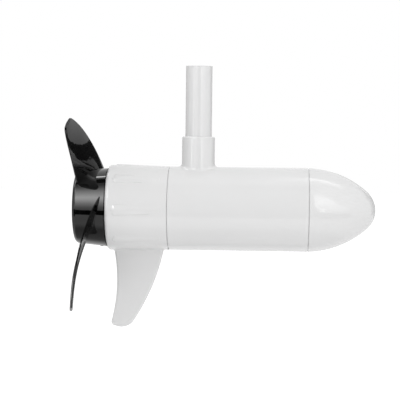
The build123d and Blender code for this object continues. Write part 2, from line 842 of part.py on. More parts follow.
# Bus strips on the plate's rear face take current from the leads to the holders.
lead_y = lead_spacing / 2
holder_side = holder_width / 2
leg_y = holder_side + free_gap + strip_width / 2
strip_radius = plate_radius - strip_setback
strip_inner = strip_radius - strip_width / 2
tab_height = plate_radius - free_gap - holder_back - slip_fit
tab_z = holder_back + slip_fit + tab_height / 2
with BuildPart() as bus_strip_positive:
    with BuildSketch(across(plate_rear)):
        with Locations((lead_y, tab_z)):
            Rectangle(tab_width, tab_height)
        with Locations((lead_y, lead_run_radius)):
            Circle(lead_radius + slip_fit, mode=Mode.SUBTRACT)
    extrude(amount=-strip_thickness)
save(bus_strip_positive.part, "bus_strip_positive")

# The negative strip bends round the plate's bore to the lower holder.
with BuildPart() as bus_strip_negative:
    with BuildSketch(across(plate_rear)):
        Circle(strip_radius + strip_width / 2)
        Circle(strip_inner, mode=Mode.SUBTRACT)
        with Locations((plate_radius - leg_y, 0)):
            Rectangle(2 * plate_radius, 2 * plate_radius, mode=Mode.SUBTRACT)
        leg_height = plate_radius - free_gap - strip_inner
        for up in (1, -1):
            with Locations((-leg_y, up * (strip_inner + leg_height / 2))):
                Rectangle(strip_width, leg_height)
            with Locations((-leg_y / 2 - strip_width / 4, up * tab_z)):
                Rectangle(leg_y + strip_width / 2, tab_height)
        with Locations((-lead_y, lead_run_radius)):
            Circle(lead_radius + slip_fit, mode=Mode.SUBTRACT)
    extrude(amount=-strip_thickness)
save(bus_strip_negative.part, "bus_strip_negative")

# Leads: down the steering tube, round a bend and forwards to the brush plate.
lead_end = plate_rear
for side, name in ((1, "lead_positive"), (-1, "lead_negative")):
    with BuildPart() as lead:
        with BuildLine():
            FilletPolyline(
                (0, side * lead_y, -lead_top_drop),
                (0, side * lead_y, axle_z + lead_run_radius),
                (lead_end, side * lead_y, axle_z + lead_run_radius),
                radius=lead_bend,
            )
        with BuildSketch(Plane.XY.offset(-lead_top_drop)):
            with Locations((0, side * lead_y)):
                Circle(lead_radius)
        sweep()
    save(lead.part, name)

# Splices at the leads' upper ends, for the cable to the head
terminal_radius = lead_radius + slip_fit + terminal_wall
with BuildPart() as lead_splices:
    for side in (1, -1):
        with BuildSketch(Plane.XY.offset(-lead_top_drop - splice_grip)):
            with Locations((0, side * lead_y)):
                Circle(terminal_radius)
        extrude(amount=splice_length)
        with BuildSketch(Plane.XY.offset(-lead_top_drop - splice_grip)):
            with Locations((0, side * lead_y)):
                Circle(lead_radius + slip_fit)
        extrude(amount=splice_length, mode=Mode.SUBTRACT)
save(lead_splices.part, "lead_splices")

# Eyelets fix the leads to the bus strips.
eyelet_front = plate_rear - strip_thickness
with BuildPart() as lead_eyelets:
    for side in (1, -1):
        with BuildSketch(across(eyelet_front)):
            with Locations((side * lead_y, lead_run_radius)):
                Circle(terminal_radius)
                Circle(lead_radius + slip_fit, mode=Mode.SUBTRACT)
        extrude(amount=-eyelet_length)
save(lead_eyelets.part, "lead_eyelets")

# Potting at the foot of the tube seals the motor off from it.
with BuildPart() as potting_plug:
    with BuildSketch(Plane.XY.offset(tube_end)):
        Circle(tube_radius - tube_wall - slip_fit)
        for side in (1, -1):
            with Locations((0, side * lead_y)):
                Circle(lead_radius + slip_fit, mode=Mode.SUBTRACT)
    extrude(amount=potting_depth)
save(potting_plug.part, "potting_plug")

# Propeller blade: sections square to the blade's own middle line, which sweeps
# back towards the tip, so each plane tilts a little more than the last.
def blade_advance(angle):
    """How far forwards an angle puts the blade's mean surface."""
    turned = angle - blade_set_angle
    return blade_pitch / 360 * turned - blade_camber * turned**2


def blade_station(angle, radius):
    """Where the blade's mean surface lies along the shaft."""
    advance = blade_advance(angle) - blade_advance(blade_outline[0][1])
    raked = blade_rake_radius - max(radius, blade_root_radius)
    lean = 1 - (max(raked, 0.0) / (blade_rake_radius - blade_root_radius)) ** 2
    return hub_front - blade_root_gap + advance - blade_rake * lean


def blade_section(radius, leading, trailing, thickness):
    """Plane of one section, and points on its front and back faces."""
    middle = math.radians((leading + trailing) / 2)
    half = math.radians((leading - trailing) / 2)
    depth = radius * math.cos(half)
    outwards = Vector(0, -math.cos(middle), math.sin(middle))
    plane = Plane(
        origin=Vector(0, 0, axle_z) + outwards * depth, x_dir=(1, 0, 0), z_dir=outwards
    )

    def station(offset):
        angle = math.degrees(middle + math.atan2(offset, depth))
        return blade_station(angle, math.hypot(depth, offset))

    front, back = [], []
    for share in (-1.0, -0.5, 0.0, 0.5, 1.0):
        offset = share * radius * math.sin(half)
        rise = station(offset + blade_edge) - station(offset - blade_edge)
        slope = rise / (2 * blade_edge)
        bulge = 1 - share * share
        half_thick = (blade_edge + (thickness - blade_edge) * bulge) / 2
        along = half_thick / math.hypot(1, slope)
        front.append((station(offset) + along, offset - slope * along))
        back.append((station(offset) - along, offset + slope * along))
    return plane, front, back


with BuildPart() as blade:
    for share, leading, trailing in blade_outline:
        section_radius = blade_root_radius + share * (blade_tip_radius - blade_root_radius)
        section_thickness = (
            blade_thickness + (blade_tip_thickness - blade_thickness) * share
        )
        plane, front, back = blade_section(
            section_radius, leading, trailing, section_thickness
        )
        with BuildSketch(plane):
            with BuildLine():
                Spline(*front)
                Line(front[-1], back[-1])
                Spline(*reversed(back))
                Line(back[0], front[0])
            make_face()
    loft()
    tip_face = blade.faces().sort_by(Axis(plane.origin, plane.z_dir))[-1]
    tip_corners = tip_face.edges().sort_by(SortBy.LENGTH)[:2]
    fillet(tip_corners.sort_by(Axis.X)[-1], blade_leading_round)
    with BuildSketch(across(hub_rear)):
        with PolarLocations(blade_tip_centre, 1, start_angle=180 - blade_tip_angle):
            Rectangle(
                blade_tip_radius,
                blade_tip_radius,
                rotation=blade_tip_sweep,
                align=(Align.MIN, Align.CENTER),
            )
            Circle(blade_tip_round, mode=Mode.SUBTRACT)
    extrude(amount=hub_length, both=True, mode=Mode.SUBTRACT)


# Propeller: a tapered hub with three blades, a sleeve on ribs and the nut's recess
def hub_skin(x):
    """Hub's outer radius at station x."""
    return hub_front_radius - (hub_front - x) * hub_slope


with BuildPart() as propeller:
    with BuildSketch(lengthwise):
        with BuildLine():
            Polyline(
                (hub_front, 0),
                (hub_front, hub_front_radius),
                (hub_rear, hub_skin(hub_rear)),
                (hub_rear, 0),
                close=True,
            )
        make_face()
    revolve(axis=axle)
    fillet(
        propeller.edges().filter_by(GeomType.CIRCLE).group_by(Axis.X)[0],
        hub_rim_round,
    )
    for number in range(blade_count):
        add(blade.part.rotate(axle, 360 / blade_count * number))
    # Hollow front
    with BuildSketch(lengthwise):
        with BuildLine():
            Polyline(
                (hub_front, 0),
                (hub_front, hub_front_radius - hub_wall),
                (web_front, hub_skin(web_front) - hub_wall),
                (web_front, 0),
                close=True,
            )
        make_face()
    revolve(axis=axle, mode=Mode.SUBTRACT)
    # Recess for the nut
    with BuildSketch(lengthwise):
        with BuildLine():
            Polyline(
                (web_rear, 0),
                (web_rear, hub_skin(web_rear) - hub_wall),
                (hub_rear, hub_skin(hub_rear) - hub_rim_round - hub_rim_lip),
                (hub_rear, 0),
                close=True,
            )
        make_face()
    revolve(axis=axle, mode=Mode.SUBTRACT)
    with BuildSketch(across(sleeve_rear)):
        Circle(hub_sleeve_radius)
    extrude(amount=sleeve_front - sleeve_rear)
    rib_reach = hub_skin(web_front) - hub_wall / 2
    with BuildSketch(across(web_front)):
        with PolarLocations(
            (rib_reach + journal_radius) / 2, hub_rib_count, start_angle=hub_rib_angle
        ):
            Rectangle(rib_reach - journal_radius, hub_rib_thickness)
    extrude(amount=hub_front - hub_rib_setback - web_front)
    with BuildSketch(across(sleeve_rear)):
        Circle(journal_radius + slip_fit)
    extrude(amount=sleeve_front - sleeve_rear, mode=Mode.SUBTRACT)
    slot_depth = sleeve_front - drive_pin_x + drive_pin_radius + drive_slot_slack
    slot_width = 2 * (drive_pin_radius + drive_slot_slack)
    with BuildSketch(across(sleeve_front)):
        Rectangle(2 * (hub_sleeve_radius + hub_rib_thickness), slot_width)
    extrude(amount=-slot_depth, mode=Mode.SUBTRACT)
save(propeller.part, "propeller")

# Washer and nut on the shaft's threaded end
with BuildPart() as propeller_washer:
    with BuildSketch(across(washer_rear)):
        Circle(prop_washer_radius)
        Circle(thread_radius + slip_fit, mode=Mode.SUBTRACT)
    extrude(amount=prop_washer_thickness)
save(propeller_washer.part, "propeller_washer")

with BuildPart() as propeller_nut:
    with BuildSketch(across(nut_rear)):
        RegularPolygon(nut_across_flats / 2, 6, major_radius=False)
    extrude(amount=nut_height)
    chamfer(propeller_nut.faces().sort_by(Axis.X)[0].edges(), nut_chamfer)
    with BuildSketch(across(nut_rear)):
        Circle(thread_radius + slip_fit)
    extrude(amount=nut_height, mode=Mode.SUBTRACT)
save(propeller_nut.part, "propeller_nut")
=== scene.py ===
import math

import bmesh
import bpy
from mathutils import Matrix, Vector


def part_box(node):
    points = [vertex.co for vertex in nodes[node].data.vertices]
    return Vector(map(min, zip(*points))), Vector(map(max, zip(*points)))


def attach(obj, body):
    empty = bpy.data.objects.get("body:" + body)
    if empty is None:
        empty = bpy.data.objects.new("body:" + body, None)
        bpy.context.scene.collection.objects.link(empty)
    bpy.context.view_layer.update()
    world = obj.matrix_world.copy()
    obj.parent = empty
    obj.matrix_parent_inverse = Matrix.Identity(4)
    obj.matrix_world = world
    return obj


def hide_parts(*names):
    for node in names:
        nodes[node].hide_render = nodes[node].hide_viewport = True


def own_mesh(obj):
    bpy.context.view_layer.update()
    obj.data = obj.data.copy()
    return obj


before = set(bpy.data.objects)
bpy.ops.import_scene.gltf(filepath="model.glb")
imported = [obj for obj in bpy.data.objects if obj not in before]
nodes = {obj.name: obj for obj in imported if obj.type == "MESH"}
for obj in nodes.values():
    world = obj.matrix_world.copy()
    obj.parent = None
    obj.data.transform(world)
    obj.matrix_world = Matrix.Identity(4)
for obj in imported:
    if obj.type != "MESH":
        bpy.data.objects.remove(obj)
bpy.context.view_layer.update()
scene = bpy.context.scene

# The barrel is an aluminium casting with the steering tube's socket standing on it.
# It is primed and sprayed with a glossy white two-pack paint, which dries with a
# very fine orange peel.
HOUSING_WHITE = (0.765, 0.765, 0.766)
PAINT_ROUGHNESS = 0.07
CLOUD_SIZE, CLOUD_SPREAD = 0.06, 0.01
RUB_SIZE, RUB_SPREAD = 0.015, 0.15
PEEL_SIZE, PEEL_HEIGHT = 0.0022, 0.000003


def new_finish(name):
    """An empty finish: its node tree, its shader and the object's own coordinates."""
    finish = bpy.data.materials.new(name)
    finish.use_nodes = True
    tree = finish.node_tree
    place = tree.nodes.new("ShaderNodeTexCoord").outputs["Object"]
    return finish, tree, tree.nodes["Principled BSDF"], place


def noise(tree, place, size, detail=3.0):
    """Noise whose lumps are about this size, in metres."""
    grain = tree.nodes.new("ShaderNodeTexNoise")
    grain.inputs["Scale"].default_value = 1 / size
    grain.inputs["Detail"].default_value = detail
    tree.links.new(place, grain.inputs["Vector"])
    return grain.outputs["Fac"]


def vary(tree, pattern, socket, low, high, start=0.3, end=0.7):
    """Runs a socket of the shader from low to high, colours or greys, with a pattern."""
    ramp = tree.nodes.new("ShaderNodeValToRGB")
    for stop, position, shade in zip(ramp.color_ramp.elements, (start, end), (low, high)):
        stop.position = position
        stop.color = (*shade, 1) if isinstance(shade, tuple) else (shade, shade, shade, 1)
    tree.links.new(pattern, ramp.inputs["Fac"])
    tree.links.new(ramp.outputs["Color"], socket)


def roughen(tree, shader, pattern, roughness, spread):
    """Roughness that wanders with a pattern, by this share of itself each way."""
    socket = shader.inputs["Roughness"]
    vary(tree, pattern, socket, roughness * (1 - spread), roughness * (1 + spread))


def raise_surface(tree, shader, pattern, height):
    """Bump of a real height, in metres."""
    bump = tree.nodes.new("ShaderNodeBump")
    bump.inputs["Distance"].default_value = height
    tree.links.new(pattern, bump.inputs["Height"])
    tree.links.new(bump.outputs["Normal"], shader.inputs["Normal"])


def shaded(colour, share):
    """A colour made darker or lighter, up to full white."""
    return tuple(min(1.0, channel * share) for channel in colour)


def gloss_coat(name, colour, roughness):
    """A smooth, glossy, evenly coloured skin with a trace of orange peel."""
    finish, tree, shader, place = new_finish(name)
    cloud = noise(tree, place, CLOUD_SIZE, detail=2.0)
    dark, light = shaded(colour, 1 - CLOUD_SPREAD), shaded(colour, 1 + CLOUD_SPREAD)
    vary(tree, cloud, shader.inputs["Base Color"], dark, light)
    roughen(tree, shader, noise(tree, place, RUB_SIZE), roughness, RUB_SPREAD)
    raise_surface(tree, shader, noise(tree, place, PEEL_SIZE, detail=1.0), PEEL_HEIGHT)
    return finish


def dress(finish, *names):
    """Puts a finish on nodes, whose shapes stay as they are."""
    for name in names:
        for slot in nodes[name].material_slots:
            slot.material = finish


housing_paint = gloss_coat("housing_paint", HOUSING_WHITE, PAINT_ROUGHNESS)
dress(housing_paint, "center_housing")

# The tail is an aluminium casting too, with the skeg below and low cast ribs round
# its rear end, at every 45 degrees but for straight down. The ribs are soft drops,
# high behind and running out forwards.
SHAFT_Z = -0.153
TAIL_RIM_X, TAIL_RIM_RADIUS = -0.0963, 0.0460
TAIL_SEAM_X, TAIL_SEAM_RADIUS = -0.0310, 0.04515
RIB_SPACING = 45
RIB_TURNS = [RIB_SPACING * i for i in range(-3, 4)]
RIB_BACK, RIB_TOP, RIB_FRONT = -0.0893, -0.0855, -0.0380
RIB_RISE = 0.0010
RIB_BACK_WIDTH, RIB_FRONT_WIDTH = 0.0060, 0.0045
RIB_END_SHARE = 0.35
RIB_ROOT_SHARE = 0.9
RIB_EDGE_SINK = 0.00005
RIB_ROOT_SINK = 0.0006
RIB_BACK_STEPS, RIB_STEPS, RIB_POINTS = 8, 40, 16


def along(start, end, share):
    """The value at a share of the way from start to end."""
    return start + (end - start) * share


def swept(name, runs, finish):
    """Closed bodies in one mesh, each skinned over its own run of rings."""
    shape = bmesh.new()
    for rings in runs:
        loops = [[shape.verts.new(point) for point in ring] for ring in rings]
        for near, far in zip(loops, loops[1:]):
            for i, corner in enumerate(near):
                j = (i + 1) % len(near)
                shape.faces.new((corner, near[j], far[j], far[i]))
        shape.faces.new(reversed(loops[0]))
        shape.faces.new(loops[-1])
    bmesh.ops.recalc_face_normals(shape, faces=shape.faces)
    for face in shape.faces:
        face.smooth = True
    mesh = bpy.data.meshes.new(name)
    shape.to_mesh(mesh)
    shape.free()
    mesh.materials.append(finish)
    thing = bpy.data.objects.new(name, mesh)
    scene.collection.objects.link(thing)
    return thing


def tail_skin(x):
    """The radius of the tail's skin, which narrows evenly from its rim to its seam."""
    share = (x - TAIL_RIM_X) / (TAIL_SEAM_X - TAIL_RIM_X)
    return along(TAIL_RIM_RADIUS, TAIL_SEAM_RADIUS, share)


def rib_ring(x, turn):
    """The outline of a rib across the shaft: a soft crown over a sunken root."""
    if x < RIB_TOP:
        swell = math.sin(math.pi / 2 * (x - RIB_BACK) / (RIB_TOP - RIB_BACK))
        rise = RIB_RISE * swell
        width = RIB_BACK_WIDTH * along(RIB_END_SHARE, 1, swell)
    else:
        share = (x - RIB_TOP) / (RIB_FRONT - RIB_TOP)
        rise = RIB_RISE * (1 - share)
        width = along(RIB_BACK_WIDTH, RIB_FRONT_WIDTH, share)
    skin = tail_skin(x)
    outline = []
    for i in range(RIB_POINTS + 1):
        side = -1 + 2 * i / RIB_POINTS
        crown = (1 + math.cos(math.pi * side)) / 2
        outline.append((side, skin - RIB_EDGE_SINK + (rise + RIB_EDGE_SINK) * crown))
    root = skin - RIB_ROOT_SINK
    outline += [(RIB_ROOT_SHARE, root), (-RIB_ROOT_SHARE, root)]
    ring = []
    for side, radius in outline:
        angle = math.radians(turn) + side * width / skin
        ring.append((x, radius * math.sin(angle), SHAFT_Z + radius * math.cos(angle)))
    return ring


rib_stations = [along(RIB_BACK, RIB_TOP, i / RIB_BACK_STEPS) for i in range(RIB_BACK_STEPS)]
rib_stations += [along(RIB_TOP, RIB_FRONT, i / RIB_STEPS) for i in range(RIB_STEPS + 1)]
rib_runs = [[rib_ring(x, turn) for x in rib_stations] for turn in RIB_TURNS]
ribs = swept("tail_ribs", rib_runs, housing_paint)
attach(ribs, "lower_unit")
dress(housing_paint, "tail_housing")

# The nose cone is the third aluminium casting. Two long bolts clamp it and the tail
# on the ends of the barrel, and all three are sprayed with the same paint.
dress(housing_paint, "nose_cone")

# The steering tube is drawn composite tube with a smooth pale skin. It is turned down
# to a shoulder, bonded into the socket, and sawn square at its upper end.
TUBE_WHITE = (0.752, 0.752, 0.754)
TUBE_ROUGHNESS = 0.045
dress(gloss_coat("tube_skin", TUBE_WHITE, TUBE_ROUGHNESS), "shaft_tube")

# The flux ring is rolled from steel sheet and left bare inside the barrel. The rolls
# leave faint streaks round it.
FLUX_GREY = (0.42, 0.42, 0.43)
ROLL_PITCH = 0.0009
TOOL_PITCH = 0.0003
TOOL_WANDER = 1.5
TOOL_DEPTH = 0.000004
WEAR_SIZE, WEAR_SPREAD = 0.004, 0.2
TARNISH = 0.93
WAVE_RATE = 20


def streaks(tree, place, pitch, direction, wander):
    """Even lines this far apart, in metres, across the X, Y or Z direction."""
    lines = tree.nodes.new("ShaderNodeTexWave")
    lines.bands_direction = direction
    lines.inputs["Scale"].default_value = math.tau / (WAVE_RATE * pitch)
    lines.inputs["Distortion"].default_value = wander
    tree.links.new(place, lines.inputs["Vector"])
    return lines.outputs["Fac"]


def worked_metal(name, colour, roughness, pitch=TOOL_PITCH):
    """Bare metal that a tool or a roll has left fine lines on."""
    finish, tree, shader, place = new_finish(name)
    shader.inputs["Metallic"].default_value = 1.0
    wear = noise(tree, place, WEAR_SIZE)
    vary(tree, wear, shader.inputs["Base Color"], shaded(colour, TARNISH), colour)
    roughen(tree, shader, wear, roughness, WEAR_SPREAD)
    raise_surface(tree, shader, streaks(tree, place, pitch, "X", TOOL_WANDER), TOOL_DEPTH)
    return finish


dress(worked_metal("flux_steel", FLUX_GREY, roughness=0.4, pitch=ROLL_PITCH), "flux_ring")

# Two curved ferrite magnets, pressed and sintered, are bonded inside the flux ring.
# They are dark grey and slightly rough, like fired clay.
FERRITE_DARK, FERRITE_LIGHT = (0.045, 0.045, 0.05), (0.07, 0.07, 0.075)
GRAIN_SIZE, GRAIN_HEIGHT = 0.002, 0.00003
SMEAR_SIZE, SMEAR_SPREAD = 0.008, 0.1


def dull_solid(name, dark, light, roughness):
    """A moulded, pressed or sintered stuff with a fine grain."""
    finish, tree, shader, place = new_finish(name)
    grain = noise(tree, place, GRAIN_SIZE, detail=4.0)
    vary(tree, grain, shader.inputs["Base Color"], dark, light)
    roughen(tree, shader, noise(tree, place, SMEAR_SIZE), roughness, SMEAR_SPREAD)
    raise_surface(tree, shader, grain, GRAIN_HEIGHT)
    return finish


ferrite = dull_solid("ferrite", FERRITE_DARK, FERRITE_LIGHT, roughness=0.55)
dress(ferrite, "magnet_port", "magnet_starboard")

# The motor shaft is turned and ground from stainless bar, which leaves fine rings
# on it. It runs from the nose through the armature and the tail to the propeller.
STAINLESS = (0.62, 0.61, 0.59)
stainless = worked_metal("stainless", STAINLESS, roughness=0.22)
dress(stainless, "motor_shaft")

# The armature's core is a stack of thin lacquered steel stampings pressed on the
# shaft. Their edges show as fine lines round it.
STAMPING_DARK, STAMPING_LIGHT = (0.13, 0.13, 0.14), (0.3, 0.3, 0.32)
STAMPING, STAMPING_EDGE = 0.0005, 0.00004
LAYER_WANDER = 0.6
SEAM_START, SEAM_END = 0.1, 0.5
HANDLING_SIZE, HANDLING_SPREAD = 0.003, 0.15


def layered(name, dark, light, pitch, direction, height, roughness):
    """A stack of sheets, or a wound coil: even lines of two shades."""
    finish, tree, shader, place = new_finish(name)
    lines = streaks(tree, place, pitch, direction, LAYER_WANDER)
    vary(tree, lines, shader.inputs["Base Color"], dark, light, SEAM_START, SEAM_END)
    roughen(tree, shader, noise(tree, place, HANDLING_SIZE), roughness, HANDLING_SPREAD)
    raise_surface(tree, shader, lines, height)
    return finish


steel_edges = layered(
    "electrical_steel", STAMPING_DARK, STAMPING_LIGHT, STAMPING, "X", STAMPING_EDGE, roughness=0.4
)
dress(steel_edges, "armature_core")

# Pale pressed paper boards sit on both ends of the core and keep the wire off the
# sharp edges of the steel.
PAPER_DARK, PAPER_LIGHT = (0.6, 0.54, 0.4), (0.7, 0.64, 0.5)
dress(dull_solid("insulation", PAPER_DARK, PAPER_LIGHT, roughness=0.7), "core_insulators")

# The coils are wound through the slots with enamelled copper wire, turn beside turn,
# and baked with varnish into one hard body.
ENAMEL_DARK, ENAMEL_LIGHT = (0.24, 0.07, 0.03), (0.5, 0.18, 0.07)
WIRE, WIRE_RISE = 0.0010, 0.0002
enamel = layered(
    "winding_enamel", ENAMEL_DARK, ENAMEL_LIGHT, WIRE, "Y", WIRE_RISE, roughness=0.32
)
dress(enamel, "armature_winding")

# The commutator's hub is a dark moulded ring pressed on the shaft, and its bars are
# copper, turned true in the lathe after the coils are joined to them.
MOULDING_DARK, MOULDING_LIGHT = (0.05, 0.035, 0.03), (0.07, 0.05, 0.04)
COPPER = (0.72, 0.38, 0.25)
dress(dull_solid("moulding", MOULDING_DARK, MOULDING_LIGHT, roughness=0.45), "commutator_hub")
copper = worked_metal("copper", COPPER, roughness=0.25)
dress(copper, "commutator_bars")

# The shaft turns in two flanged bushes, pressed from bronze powder and soaked in oil,
# in the posts of the tail and the nose. Fibre washers take the rotor's end push.
BRONZE = (0.55, 0.36, 0.18)
BOARD_DARK, BOARD_LIGHT = (0.27, 0.21, 0.1), (0.38, 0.3, 0.16)
BOARD_LAYER, BOARD_EDGE = 0.0008, 0.00002
dress(worked_metal("bronze", BRONZE, roughness=0.34), "shaft_bushes")
board = layered(
    "board", BOARD_DARK, BOARD_LIGHT, BOARD_LAYER, "Z", BOARD_EDGE, roughness=0.5
)
dress(board, "thrust_washers")

# The brush plate is cut from the same board. Two slotted stainless screws hold it on
# the nose cone's posts.
dress(board, "brush_plate")
dress(stainless, "plate_screws")

# Two pressed carbon brushes slide in folded brass holders above and below the
# commutator. Springs wound from stainless wire push them on it, and are squeezed
# against the holders' seats where the brushes slide out.
CARBON_DARK, CARBON_LIGHT = (0.03, 0.03, 0.03), (0.06, 0.058, 0.056)
BRASS = (0.72, 0.55, 0.25)
BRASS_PITCH = 0.0005
SPRING_WIRE = 0.0007
SPRING_TURNS = 3
SPRING_STEPS, SPRING_SIDES = 72, 8


def wire_ring(middle, coil_radius, turn, level):
    """The outline of a spring's wire at one turn and level of its coil."""
    ring = []
    for side in range(SPRING_SIDES):
        angle = math.tau * side / SPRING_SIDES
        out = coil_radius + SPRING_WIRE / 2 * math.cos(angle)
        height = level + SPRING_WIRE / 2 * math.sin(angle)
        ring.append((middle[0] + out * math.cos(turn), middle[1] + out * math.sin(turn), height))
    return ring


def coil_spring(name, node, up):
    """A spring that stands up (1) or down (-1) from a brush to its holder's seat."""
    low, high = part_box(node)
    start, seat = (low[2], high[2]) if up > 0 else (high[2], low[2])
    middle = (low[0] + high[0]) / 2, (low[1] + high[1]) / 2
    coil_radius = (high[0] - low[0] - SPRING_WIRE) / 2
    rings = []
    for step in range(SPRING_STEPS + 1):
        share = step / SPRING_STEPS
        level = along(start + up * SPRING_WIRE / 2, seat - up * SPRING_WIRE / 2, share)
        rings.append(wire_ring(middle, coil_radius, math.tau * SPRING_TURNS * share, level))
    coil = swept(name, [rings], stainless)
    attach(coil, "lower_unit")
    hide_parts(node)
    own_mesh(coil)


carbon = dull_solid("carbon", CARBON_DARK, CARBON_LIGHT, roughness=0.6)
dress(carbon, "brush_top", "brush_bottom")
brass = worked_metal("bright_brass", BRASS, roughness=0.25, pitch=BRASS_PITCH)
dress(brass, "brush_holder_top", "brush_holder_bottom")
coil_spring("coil_spring_top", "brush_spring_top", 1)
coil_spring("coil_spring_bottom", "brush_spring_bottom", -1)

# Two brass strips, stamped and bent, lie on the brush plate's rear face and carry the
# current from the leads to the holders.
dress(brass, "bus_strip_positive", "bus_strip_negative")

# Two long stainless bolts run from the tail's rim into the nose and clamp the three
# housings. Square-cut rubber rings on both spigots keep the water out.
RUBBER_DARK, RUBBER_LIGHT = (0.012, 0.012, 0.013), (0.024, 0.024, 0.025)
dress(stainless, "thru_bolts")
seal_rubber = dull_solid("seal_rubber", RUBBER_DARK, RUBBER_LIGHT, roughness=0.6)
dress(seal_rubber, "seal_rings")

# Two lip seals of moulded black rubber are pressed in the tail's bore, and their thin
# lips wipe the motor shaft.
dress(seal_rubber, "shaft_seals")

# Two stranded copper leads in red and black jackets run down the steering tube, round
# a bend and forwards to the brush plate. Brass eyelets are crimped on their ends.
RED_DARK, RED_LIGHT = (0.45, 0.02, 0.015), (0.55, 0.03, 0.02)
BLACK_DARK, BLACK_LIGHT = (0.015, 0.015, 0.015), (0.025, 0.025, 0.025)
dress(dull_solid("lead_red", RED_DARK, RED_LIGHT, roughness=0.4), "lead_positive")
dress(dull_solid("lead_black", BLACK_DARK, BLACK_LIGHT, roughness=0.4), "lead_negative")
dress(brass, "lead_eyelets")

# Each lead ends in an open brass splice barrel, which is crimped on it. The bared
# strands stand up in the barrel, nineteen to a lead, with a slight twist, and are
# snipped off unevenly.
LEAD_Y = 0.0043
STRANDS_LOW, STRANDS_HIGH = -0.0124, -0.0076
STRAND_RADIUS = 0.00036
STRAND_PITCH = 0.00076
STRAND_TWIST = math.radians(40)
STRAND_SIDES, STRAND_STEPS = 8, 6
LAYERS = [(1, 0), (6, 1), (12, 2)]
DOME_RISE, DOME_SHARE = 0.6, 0.55
SNIP_SPREAD, SNIP_LEVELS = 0.0004, 4
SNIP_SKIP, SNIP_LAYER_SKIP = 5, 3


def strand(lead_y, layer, turn, top):
    """One round wire that winds about the middle of its lead and ends in a dome."""
    rings = []
    for step in range(STRAND_STEPS + 2):
        share = min(1.0, step / STRAND_STEPS)
        z = along(STRANDS_LOW, top, share)
        radius = STRAND_RADIUS
        if step > STRAND_STEPS:
            z = top + STRAND_RADIUS * DOME_RISE
            radius = STRAND_RADIUS * DOME_SHARE
        angle = turn + STRAND_TWIST * share
        x = layer * STRAND_PITCH * math.cos(angle)
        y = lead_y + layer * STRAND_PITCH * math.sin(angle)
        corners = [math.tau * i / STRAND_SIDES for i in range(STRAND_SIDES)]
        rings.append([(x + radius * math.cos(a), y + radius * math.sin(a), z) for a in corners])
    return rings


strands = []
for lead_y in (-LEAD_Y, LEAD_Y):
    for count, layer in LAYERS:
        for i in range(count):
            snip = (i * SNIP_SKIP + layer * SNIP_LAYER_SKIP) % SNIP_LEVELS
            top = STRANDS_HIGH - SNIP_SPREAD * snip / SNIP_LEVELS
            strands.append(strand(lead_y, layer, math.tau * i / count, top))
bared_wire = swept("copper_strands", strands, copper)
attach(bared_wire, "lower_unit")
dress(brass, "lead_splices")

# Black potting resin is poured in the foot of the tube round the leads and sets
# hard, so that no water runs down into the motor.
RESIN_DARK, RESIN_LIGHT = (0.02, 0.02, 0.021), (0.03, 0.03, 0.031)
dress(dull_solid("potting", RESIN_DARK, RESIN_LIGHT, roughness=0.35), "potting_plug")

# The propeller is one injection moulding in glossy black nylon. Its blades have very
# slight hollows from the cooling of the plastic.
NYLON_DARK, NYLON_LIGHT = (0.0022, 0.0022, 0.0022), (0.0032, 0.0032, 0.0032)
NYLON_ROUGHNESS = 0.04
MOTTLE_SIZE = 0.01
POLISH_SIZE, POLISH_SPREAD = 0.02, 0.2
HOLLOW_SIZE, HOLLOW_DEPTH = 0.012, 0.000006


def moulded_gloss(name, dark, light, roughness):
    """Plastic as it comes out of a polished mould."""
    finish, tree, shader, place = new_finish(name)
    vary(tree, noise(tree, place, MOTTLE_SIZE), shader.inputs["Base Color"], dark, light)
    roughen(tree, shader, noise(tree, place, POLISH_SIZE), roughness, POLISH_SPREAD)
    raise_surface(tree, shader, noise(tree, place, HOLLOW_SIZE, detail=1.0), HOLLOW_DEPTH)
    return finish


nylon = moulded_gloss("propeller_plastic", NYLON_DARK, NYLON_LIGHT, NYLON_ROUGHNESS)
dress(nylon, "propeller")

# A stainless pin through the shaft turns the propeller by the slots in its sleeve. A
# stainless nut and washer in the hub's recess hold it on.
dress(stainless, "drive_pin", "propeller_washer", "propeller_nut")

# The end of the motor shaft that stands out of the nut is threaded. The thread is cut
# in the lathe, and fades out before the shaft's end.
THREAD_START, THREAD_END = -0.1260, -0.1278
THREAD_PITCH = 0.0015
THREAD_ROOT, THREAD_CREST = 0.0048, 0.00528
THREAD_HALF = 0.00045
THREAD_FADE = 0.2
THREAD_STEPS = 44


def thread_ring(share):
    """The thread's three-cornered outline at a share of the way to the shaft's end."""
    turn = math.tau * (THREAD_START - THREAD_END) / THREAD_PITCH * share
    x = along(THREAD_START, THREAD_END, share)
    crest = along(THREAD_ROOT, THREAD_CREST, min(1.0, (1 - share) / THREAD_FADE))
    profile = [(-THREAD_HALF, THREAD_ROOT), (0, crest), (THREAD_HALF, THREAD_ROOT)]
    return [
        (x + step, radius * math.sin(turn), SHAFT_Z + radius * math.cos(turn))
        for step, radius in profile
    ]


thread_run = [thread_ring(i / THREAD_STEPS) for i in range(THREAD_STEPS + 1)]
thread = swept("shaft_thread", [thread_run], stainless)
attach(thread, "rotor")

# A wide white studio floor lies below the hanging unit. It is seen as plain white and
# takes the unit's soft shadow, and the gloss doesn't reflect it.
FLOOR_Z = -0.42
FLOOR_REACH = 6
FLOOR_WHITE = (0.94, 0.94, 0.94)
FLOOR_ROUGHNESS = 0.9
FLOOR_GLOW = 0.4


def plain_mesh(name, corners, faces):
    """A mesh of flat faces."""
    mesh = bpy.data.meshes.new(name)
    mesh.from_pydata(corners, [], faces)
    thing = bpy.data.objects.new(name, mesh)
    scene.collection.objects.link(thing)
    return thing


